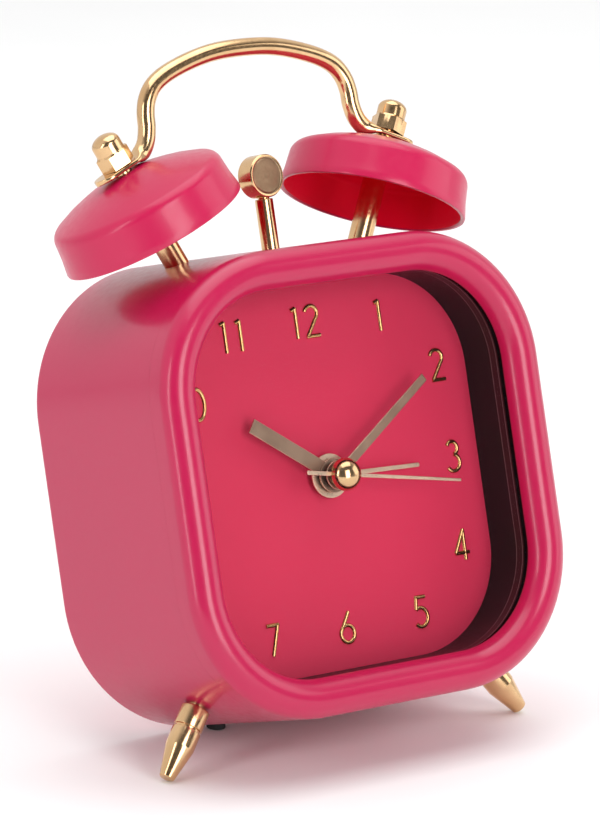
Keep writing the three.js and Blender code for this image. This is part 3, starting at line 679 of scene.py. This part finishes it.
def build_nuts():
    bottom = BELL_H + 1.6
    cap_r = 2.95
    dome = [(0, 2.8), (cap_r, 2.8), (cap_r, 5.0)]
    dome += [(cap_r * x, 5.0 + 1.9 * y) for x, y in arc(0, 0, 1, 4, 90, 12)]
    dome[-1] = (0, NUT_TOP)
    for name, side in (("left", -1), ("right", 1)):
        bm = merge(hex_nut(NUT_FLATS, 0, NUT_H, 0.35), revolve(dome, 64))
        turned = Matrix.Translation((0, 0, bottom)) @ Matrix.Rotation(0.3 * side, 4, "Z")
        moved(bm, on_post_axis(side) @ turned)
        link(f"cap_nut_{name}", to_mesh(f"cap_nut_{name}", bm, 24), [GOLD], BODY,
             [f"acorn_nut_{name}"])


# ---------------------------------------------------------------- handle
def smooth_path(points, steps):
    """Catmull-Rom through the points, with centripetal spacing."""
    knots = [Vector(p) for p in points]
    knots = [2 * knots[0] - knots[1]] + knots + [2 * knots[-1] - knots[-2]]
    out = []
    for i in range(1, len(knots) - 2):
        p0, p1, p2, p3 = knots[i - 1:i + 3]
        t0 = 0.0
        t1 = t0 + (p1 - p0).length ** 0.5
        t2 = t1 + (p2 - p1).length ** 0.5
        t3 = t2 + (p3 - p2).length ** 0.5
        for k in range(steps):
            t = t1 + (t2 - t1) * k / steps
            a1 = p0 * ((t1 - t) / (t1 - t0)) + p1 * ((t - t0) / (t1 - t0))
            a2 = p1 * ((t2 - t) / (t2 - t1)) + p2 * ((t - t1) / (t2 - t1))
            a3 = p2 * ((t3 - t) / (t3 - t2)) + p3 * ((t - t2) / (t3 - t2))
            b1 = a1 * ((t2 - t) / (t2 - t0)) + a2 * ((t - t0) / (t2 - t0))
            b2 = a2 * ((t3 - t) / (t3 - t1)) + a3 * ((t - t1) / (t3 - t1))
            out.append(b1 * ((t2 - t) / (t2 - t1)) + b2 * ((t - t1) / (t2 - t1)))
    out.append(knots[-2])
    return out


GRIP_R = 1.79
TAB_W = 5.8
TAB_T = 1.0
HANDLE_HALF = [
    (37.9, 62.7), (34.8, 64.1), (31.6, 65.5), (29.2, 66.5), (27.1, 67.6), (25.5, 69.6), (24.7, 72.4),
    (24.5, 75.2), (23.8, 77.8), (22.1, 80.3), (19.5, 82.1), (14.5, 84.05), (7.5, 85.7), (0, 86.15),
]


def build_handle():
    """A bent round rod whose ends are pressed flat into a tab under each nut."""
    half = [Vector((-x, BELL_Y, z)) for x, z in HANDLE_HALF]
    full = half + [Vector((-p.x, p.y, p.z)) for p in reversed(half[:-1])]
    path = smooth_path(full, 9)
    count = len(path) - 1
    bm = bmesh.new()
    rows = []
    flat_share, round_share = 0.105, 0.165
    points = 28
    for i, point in enumerate(path):
        along = (path[min(count, i + 1)] - path[max(0, i - 1)]).normalized()
        out = Vector((0, 1, 0)).cross(along).normalized() * -1
        share = min(i, count - i) / count
        t = min(1, max(0, (share - flat_share) / (round_share - flat_share)))
        t = t * t * (3 - 2 * t)
        thick = TAB_T / 2 * (1 - t) + GRIP_R * t
        end = min(1, share / 0.035)
        wide = (TAB_W / 2 * (1 - t) + GRIP_R * t) * math.sqrt(max(0.02, 1 - (1 - end) ** 2))
        power = t + 0.35 * (1 - t)
        row = []
        for k in range(points):
            a = 2 * math.pi * k / points
            across = wide * math.copysign(abs(math.cos(a)) ** power, math.cos(a))
            rise = thick * math.copysign(abs(math.sin(a)) ** power, math.sin(a))
            row.append(bm.verts.new(point + Vector((0, 1, 0)) * across + out * rise))
        rows.append(row)
    bridge(bm, rows)
    bm.faces.new(rows[0])
    bm.faces.new(list(reversed(rows[-1])))
    link("handle_rod", to_mesh("handle_rod", bm, 50), [GOLD], BODY, ["carry_handle"])


# ---------------------------------------------------------------- feet and pads
FOOT_ANGLE = math.radians(36.5)
FOOT_Y = -1.55
FOOT_L = 15.7
FOOT_R = 2.9
FOOT_TIP_R = 1.45


def foot_matrix(side):
    base = CORNER_R + spread_at(FOOT_Y)
    x = HALF_W - CORNER_R + base * math.sin(FOOT_ANGLE)
    z = -(HALF_H - CORNER_R + base * math.cos(FOOT_ANGLE))
    turn = Matrix.Rotation(-side * FOOT_ANGLE, 4, "Y") @ Matrix.Rotation(math.pi, 4, "X")
    return Matrix.Translation((side * x, FOOT_Y, z)) @ turn


def build_feet():
    stud, groove = 1.7, FOOT_R - 0.35
    corners = [
        (0, -1.5), (stud, -1.5), (stud, 0.5), (FOOT_R - 0.25, 0.5), (FOOT_R, 0.75), (FOOT_R, 4.7),
        (groove, 4.82), (groove, 5.22), (FOOT_R, 5.34), (FOOT_R, 9.0), (FOOT_TIP_R + 0.08, FOOT_L - 0.2),
        (FOOT_TIP_R - 0.12, FOOT_L), (0, FOOT_L),
    ]
    radii = [0, 0, 0, 0.05, 0.05, 0.06, 0.05, 0.05, 0.06, 1.0, 0.1, 0.1, 0]
    profile = rounded(corners, radii, 4)
    for name, side in (("left", -1), ("right", 1)):
        bm = moved(revolve(profile, 72), foot_matrix(side))
        link(f"turned_foot_{name}", to_mesh(f"turned_foot_{name}", bm), [GOLD], BODY,
             [f"foot_{name}"])


def build_pads():
    for name in ("left", "right"):
        low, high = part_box(f"rear_pad_{name}")
        centre = (low + high) / 2
        radius = (high.x - low.x) / 2
        own = PLACE.inverted() @ centre
        top = -HALF_H - spread_at(own.y) + 0.1
        bm = bmesh.new()
        rings = []
        profile = rounded([(0, 0), (1, 0), (1, 1), (0, 1)], [0, 0.25, 0.05, 0], 5)
        segments = 48
        for r, h in profile:
            ring = []
            for k in range(segments):
                a = 2 * math.pi * k / segments
                x = own.x + radius / MM * r * math.cos(a)
                y = own.y + radius / MM * r * math.sin(a)
                ground = (-HAND_AXIS.z / MM - y * BACK.z) / UP.z
                z = ground * (1 - h) + top * h
                ring.append(bm.verts.new((x, y, z)))
            rings.append(ring)
        bridge(bm, rings)
        link(f"rubber_pad_{name}", to_mesh(f"rubber_pad_{name}", bm), [RUBBER], BODY,
             [f"rear_pad_{name}"])


# ---------------------------------------------------------------- hammer
def build_hammer():
    rod_y, pivot_z = 0.6, 31.0
    rod_r, neck_r, rod_foot, rod_top, neck_top = 1.8, 1.15, 33, 55.8, 57.6
    corners = [(0, rod_foot), (rod_r, rod_foot), (rod_r, rod_top), (neck_r, rod_top), (neck_r, neck_top),
               (0, neck_top)]
    profile = rounded(corners, [0, 0.1, 0.22, 0.08, 0, 0], 4)
    stem = moved(revolve(profile, 64), Matrix.Translation((0, rod_y, 0)))
    hub = rounded([(1.15, -1.8), (3, -1.8), (3, 9), (1.15, 9)], 0.25, 3, True)
    hub_bm = moved(revolve(hub, 48), Matrix.Translation((0, 0, pivot_z)) @ TO_Y)
    outline = [(-6.9, 16.6), (-5.4, 16.6), (-5.4, 24.6), (5.4, 24.6), (5.4, 16.6), (6.9, 16.6),
               (6.9, 26.4), (2, 29.2), (-2, 29.2), (-6.9, 26.4)]
    fork = slab(outline, 6.6, 9, 0.25)
    bm = merge(stem, hub_bm, fork)
    link("hammer_rod", to_mesh("hammer_rod", bm), [GOLD], "hammer", ["hammer_arm"])
    build_hammer_head(rod_y)


def build_hammer_head(rod_y):
    """A short cylinder whose front face carries turned rings."""
    length, radius = 4.2, 4.3
    face = -length / 2
    rings = [(0, face), (0.5, face + 0.04), (0.9, face + 0.1), (1.3, face), (1.8, face + 0.09), (2.3, face),
             (2.8, face + 0.1), (3.3, face), (3.5, face + 0.14), (3.7, face + 0.02), (4.05, face + 0.02)]
    body = rounded([(4.05, face + 0.02), (radius, face + 0.22), (radius, face + length - 0.3),
                    (radius - 0.3, face + length), (0, face + length)], [0, 0.12, 0.15, 0.15, 0], 4)
    head = moved(revolve(rings + body[1:], 96), TO_Y)
    for item in head.faces:
        centre = item.calc_center_median()
        if centre.y < face + 0.2 and math.hypot(centre.x, centre.z) < 3.6:
            item.material_index = 1
    bm = moved(head, Matrix.Translation((0, rod_y, HAMMER_Z)) @ Matrix.Rotation(math.radians(6), 4, "Z"))
    link("hammer_knob", to_mesh("hammer_knob", bm), [GOLD, HAMMER_FACE], "hammer",
         ["hammer_head"])


# ---------------------------------------------------------------- hands
def hand_outline(length, half_width, tip_half, tail, degrees, round_tip=False):
    angle = math.radians(degrees)
    along = Vector((math.sin(angle), math.cos(angle)))
    across = Vector((math.cos(angle), -math.sin(angle)))
    local = [(-tail, half_width), (-tail, -half_width), (length, -tip_half), (length, tip_half)]
    radius = 0.95 * tip_half if round_tip else 0.12
    shaped = rounded(local, [0.3 if tail else 0, 0.3 if tail else 0, radius, radius], 5, True)
    return [tuple(along * a + across * b) for a, b in shaped]


def pipe(outer, low, high, inner=None, edge=0.14):
    if inner is None:
        profile = rounded([(0, low), (outer, low), (outer, high), (0, high)], [0, edge, edge, 0], 3)
    else:
        profile = rounded([(inner, low), (outer, low), (outer, high), (inner, high)], edge, 3, True)
    return moved(revolve(profile, 72), TO_Y)


EDGE_TILT = 0.12  # faces tilted more than this from flat and from upright are polished edges


def build_hands():
    # node, (length, half width, tip half width, tail, degrees, round tip), thickness, front,
    # boss radius, bore, pipe radius, pipe back, material
    specs = [
        ("alarm_hand", (21.8, 0.45, 0.45, 0, 91.8, True), 0.4, -8.9, 4.4, 2.05, 2.6, -3.2, PALE_GOLD),
        ("hour_hand", (21.5, 1.5, 1.5, 0, -55.6), 0.4, -10.2, 3.4, 1.35, 1.85, -1.9, HAND_GOLD),
        ("minute_hand", (29, 1.0, 0.85, 0, 55.4), 0.4, -11.8, 2.9, 0.65, 1.15, -0.3, HAND_GOLD),
        ("second_hand", (28.3, 0.45, 0.3, 8.9, 99.9), 0.3, -13.8, 1.4, None, 0.45, 0.9, PALE_GOLD),
    ]
    for node, shape, thick, front, boss, bore, pipe_r, back, material in specs:
        blade = slab(hand_outline(*shape), front, front + thick, 0.14)
        disc = pipe(boss, front - 0.02, front + thick + 0.02, bore)
        parts = [blade, disc, pipe(pipe_r, front + 0.1, back, bore)]
        if node == "minute_hand":
            parts.append(pipe(2.3, front - 0.8, front + 0.1, bore))
        bm = merge(*parts)
        bm.normal_update()
        for face in bm.faces:
            if EDGE_TILT < abs(face.normal.y) < 1 - EDGE_TILT:
                face.material_index = 1
        mesh = to_mesh(f"{node}_blade", bm)
        link(f"{node}_blade", mesh, [material, PALE_GOLD], node, [node])
    cap_r = 3.3
    dome = [(0, -0.1), (3.2, -0.1), (cap_r, 0.1)]
    dome += [(cap_r * x, 0.15 + 2.75 * y) for x, y in arc(0, 0, 1, 2, 90, 18)]
    dome[-1] = (0, 2.9)
    forward = Matrix.Translation((0, -13.85, 0)) @ TO_Y @ Matrix.Rotation(math.pi, 4, "X")
    cap = moved(revolve(dome, 96), forward)
    link("dome_cap", to_mesh("dome_cap", cap), [GOLD], "second_hand", ["centre_cap"])


# ---------------------------------------------------------------- rear
DOOR_GAP = 0.35
SLOT_HALF_W = 4.2
SLOT_HALF_H = 1.2
DRILL_LOW, DRILL_HIGH = 18, 26
KNOBS = {
    "time_set_knob": ("time_setting", "time_dial_knob"),
    "alarm_set_knob": ("alarm_setting", "alarm_dial_knob"),
}
SCREWS = range(1, 5)


def middle_of(node):
    low, high = own_box(node)
    return (low + high) / 2


def drill_at(node, radius, segments):
    """A round cutter through the rear cover on a CAD node's middle."""
    profile = [(0, DRILL_LOW), (radius, DRILL_LOW), (radius, DRILL_HIGH), (0, DRILL_HIGH)]
    centre = middle_of(node)
    return moved(moved(revolve(profile, segments), TO_Y), Matrix.Translation((centre.x, 0, centre.z)))


def build_cover():
    """The rear plate with its openings for door, knobs, switch and screws."""
    inset = INNER_INSET + 0.1
    outline = [(x - inset * nx, z - inset * nz) for x, z, nx, nz in outline_points()]
    bm = slab(outline, COVER_LOW.y, COVER_HIGH.y, 0.35)
    cover = link("back_plate", to_mesh("back_plate", bm), [COVER], BODY, ["rear_cover"])
    low, high = own_box("battery_door")
    corners = box_outline(low.x - DOOR_GAP, low.z - DOOR_GAP, high.x + DOOR_GAP, high.z + DOOR_GAP)
    through = (COVER_LOW.y - 2, COVER_HIGH.y + 2, 0)
    cuts = [slab(rounded(corners, 1.2, 5, True), *through)]
    cuts += [drill_at(node, 1.5, 40) for node in KNOBS]
    mid = middle_of("alarm_switch")
    slot_x = mid.x + 2
    left, right = slot_x - SLOT_HALF_W, slot_x + SLOT_HALF_W
    corners = box_outline(left, mid.z - SLOT_HALF_H, right, mid.z + SLOT_HALF_H)
    cuts.append(slab(rounded(corners, 0.5, 4, True), *through))
    cuts += [drill_at(f"cover_screw_{i}", 1.4, 32) for i in SCREWS]
    carve(cover, merge(*cuts))


def build_door():
    """The battery door with five grip ribs."""
    low, high = own_box("battery_door")
    outline = rounded(box_outline(low.x, low.z, high.x, high.z), 1.0, 5, True)
    parts = [slab(outline, COVER_LOW.y, COVER_HIGH.y - 0.1, 0.25)]
    for i in range(5):
        z = low.z + 2.2 + i * 1.1
        rib = rounded(box_outline(-6, z, 6, z + 0.45), 0.2, 3, True)
        parts.append(slab(rib, COVER_HIGH.y - 0.3, COVER_HIGH.y + 0.45, 0.12))
    link("battery_hatch", to_mesh("battery_hatch", merge(*parts)), [COVER], "battery_door",
         ["battery_door"])


def build_knobs():
    for node, (body, name) in KNOBS.items():
        low, high = own_box(node)
        radius = (high.x - low.x) / 2
        bm = knurled_knob(radius, low.y, high.y, (low + high) / 2)
        link(name, to_mesh(node, bm), [BLACK], body, [node])


def build_switch():
    """The alarm slide: a plate inside, a neck through the slot and a ribbed button outside."""
    low, high = own_box("alarm_switch")
    mid = (low + high) / 2
    outline = rounded(box_outline(low.x, low.z, high.x, high.z), 0.6, 4, True)
    parts = [slab(outline, 23.7, high.y - 0.4, 0.2), slab(outline, low.y, low.y + 1.1, 0.2)]
    neck = rounded(box_outline(mid.x - 1.6, mid.z - 0.8, mid.x + 1.6, mid.z + 0.8), 0.3, 3, True)
    parts.append(slab(neck, low.y + 0.5, 24.2, 0))
    for i in range(4):
        x = mid.x - 2.0 + i * 1.15
        rib = box_outline(x, mid.z - 1.4, x + 0.5, mid.z + 1.4)
        parts.append(slab(rib, high.y - 0.6, high.y - 0.02, 0.12))
    link("alarm_slider", to_mesh("alarm_slider", merge(*parts)), [BLACK], "alarm_switch",
         ["alarm_switch"])


def knurled_knob(radius, low, high, centre):
    """A grip with fine straight flutes round its rim."""
    bm = bmesh.new()
    flutes, per = 24, 4
    levels = [(0.0, 0.93), (0.35, 1.0), (0.8, 1.0), (0.93, 0.97), (1.0, 0.88)]
    rows = []
    for share, grow in levels:
        row = []
        for k in range(flutes * per):
            a = 2 * math.pi * k / (flutes * per)
            depth = 0.28 if k % per == 0 else 0.0
            reach = radius * grow - depth * (1 if 0 < share < 1 else 0.3)
            y = low + (high - low) * share
            row.append(bm.verts.new((centre.x + reach * math.cos(a), y, centre.z + reach * math.sin(a))))
        rows.append(row)
    dish = []
    dish_r = radius * 0.7
    for k in range(flutes * per):
        a = 2 * math.pi * k / (flutes * per)
        x, z = centre.x + dish_r * math.cos(a), centre.z + dish_r * math.sin(a)
        dish.append(bm.verts.new((x, high - 0.5, z)))
    rows.append(dish)
    bridge(bm, rows)
    bm.faces.new(rows[0])
    bm.faces.new(list(reversed(rows[-1])))
    return bm


def build_screw(i):
    centre = middle_of(f"cover_screw_{i}")
    profile = rounded([(0, 14), (1.15, 14), (1.15, 23.4), (2.5, 23.4), (2.5, 23.9), (1.6, 24.5), (0, 24.6)],
                      [0, 0.2, 0, 0.1, 0.3, 0.6, 0], 4)
    head = moved(revolve(profile, 40), Matrix.Translation((centre.x, 0, centre.z)) @ TO_Y)
    screw = link(f"cross_screw_{i}", to_mesh(f"cross_screw_{i}", head), [STEEL], BODY,
                 [f"cover_screw_{i}"])
    cross = []
    for half_x, half_z in ((1.5, 0.28), (0.28, 1.5)):
        bar = box_outline(centre.x - half_x, centre.z - half_z, centre.x + half_x, centre.z + half_z)
        cross.append(slab(bar, 23.8, 26, 0))
    for part in cross:
        carve(screw, part)


def finish_inner_nodes():
    """Gives each piece inside the case its own finish; its CAD shape stays."""
    finishes = {
        WHITE_PLASTIC: ["movement_front", "movement_rear", "battery_tray", "setting_wheel", "alarm_wheel",
                        "motor_cam"],
        STEEL: ["post_nut_left", "post_nut_right", "foot_nut_left", "foot_nut_right", "hammer_pin",
                "hammer_bracket", "bell_motor", "stator", "contact_plus", "contact_minus"],
        COPPER: ["drive_coil"],
        BOARD: ["circuit_board"],
        SLEEVE: ["battery_cell"],
    }
    for material, names in finishes.items():
        for name in names:
            node = frame["nodes"][name]
            node.data.materials.clear()
            node.data.materials.append(material)


# ---------------------------------------------------------------- stage
def build_floor():
    size, steps = 4.0, 2
    bm = bmesh.new()
    bmesh.ops.create_grid(bm, x_segments=steps, y_segments=steps, size=size)
    mesh = bpy.data.meshes.new("floor")
    bm.to_mesh(mesh)
    bm.free()
    floor = bpy.data.objects.new("floor", mesh)
    bpy.context.scene.collection.objects.link(floor)
    material, nodes, links, shader = new_material("floor_paper")
    grain = noise(nodes, links, 8.0, 2.0)
    links.new(ramp(nodes, links, grain, (0.9, 0.9, 0.9), (0.93, 0.93, 0.93)), shader.inputs["Base Color"])
    shader.inputs["Roughness"].default_value = 0.9
    mesh.materials.append(material)


def area_light(name, location, target, size_x, size_y, power):
    data = bpy.data.lights.new(name, "AREA")
    data.shape = "RECTANGLE"
    data.size = size_x
    data.size_y = size_y
    data.energy = power
    light = bpy.data.objects.new(name, data)
    light.location = location
    light.rotation_euler = (Vector(target) - Vector(location)).to_track_quat("-Z", "Y").to_euler()
    bpy.context.scene.collection.objects.link(light)


def build_world():
    """A pale surround: bright behind the clock, dimmer on the viewer's side."""
    world = bpy.data.worlds.new("studio")
    bpy.context.scene.world = world
    world.use_nodes = True
    nodes, links = world.node_tree.nodes, world.node_tree.links
    place = nodes.new("ShaderNodeTexCoord")
    split = nodes.new("ShaderNodeSeparateXYZ")
    links.new(place.outputs["Generated"], split.inputs["Vector"])
    range_node = nodes.new("ShaderNodeMapRange")
    range_node.interpolation_type = "SMOOTHSTEP"
    range_node.inputs["From Min"].default_value = -0.55
    range_node.inputs["From Max"].default_value = 0.25
    range_node.inputs["To Min"].default_value = 0.12
    range_node.inputs["To Max"].default_value = 0.93
    links.new(split.outputs["Y"], range_node.inputs["Value"])
    background = nodes["Background"]
    background.inputs["Color"].default_value = (1, 1, 1, 1)
    links.new(range_node.outputs["Result"], background.inputs["Strength"])


def around(degrees, distance, height):
    """A spot round the clock: 0 degrees to its left, 90 degrees in front of it."""
    angle = math.radians(degrees)
    return (-distance * math.cos(angle), -distance * math.sin(angle), height)


def build_lights():
    middle = (0, 0, 0.07)
    area_light("overhead", (0.1, 0.0, 1.5), middle, 1.5, 1.5, 14)
    area_light("front_softbox", around(88, 1.3, 0.45), middle, 0.55, 1.0, 10)
    area_light("left_strip", around(14, 1.1, 0.3), middle, 0.2, 0.9, 3)
    area_light("right_fill", around(150, 1.3, 0.5), middle, 0.8, 0.9, 4)
    bpy.context.scene.view_settings.view_transform = "Standard"


def build_camera():
    a, e, roll = CAMERA_AZIMUTH, CAMERA_ELEVATION, CAMERA_ROLL
    back = Vector((math.sin(a) * math.cos(e), -math.cos(a) * math.cos(e), math.sin(e)))
    right = Vector((math.cos(a), math.sin(a), 0))
    up = back.cross(right)
    turned_right = right * math.cos(roll) - up * math.sin(roll)
    turned_up = right * math.sin(roll) + up * math.cos(roll)
    spot = turned_right * CAMERA_AIM[0] + turned_up * CAMERA_AIM[1] + back * CAMERA_DISTANCE
    data = bpy.data.cameras.new("camera")
    data.lens = CAMERA_LENS
    data.sensor_width = 36
    data.clip_start, data.clip_end = 0.05, 20
    camera = bpy.data.objects.new("camera", data)
    bpy.context.scene.collection.objects.link(camera)
    axes = Matrix((turned_right, turned_up, back)).transposed()
    camera.matrix_world = Matrix.Translation(PLACE @ spot) @ (TURN @ axes).to_4x4()
    bpy.context.scene.camera = camera


build_camera()
build_case()
build_bezel()
build_ring()
build_lens()
build_dial()
build_numerals()
build_bells()
build_posts()
build_nuts()
build_handle()
build_feet()
build_pads()
build_hammer()
build_hands()
build_cover()
build_door()
build_knobs()
build_switch()
for screw_number in SCREWS:
    build_screw(screw_number)
finish_inner_nodes()
build_floor()
build_world()
build_lights()
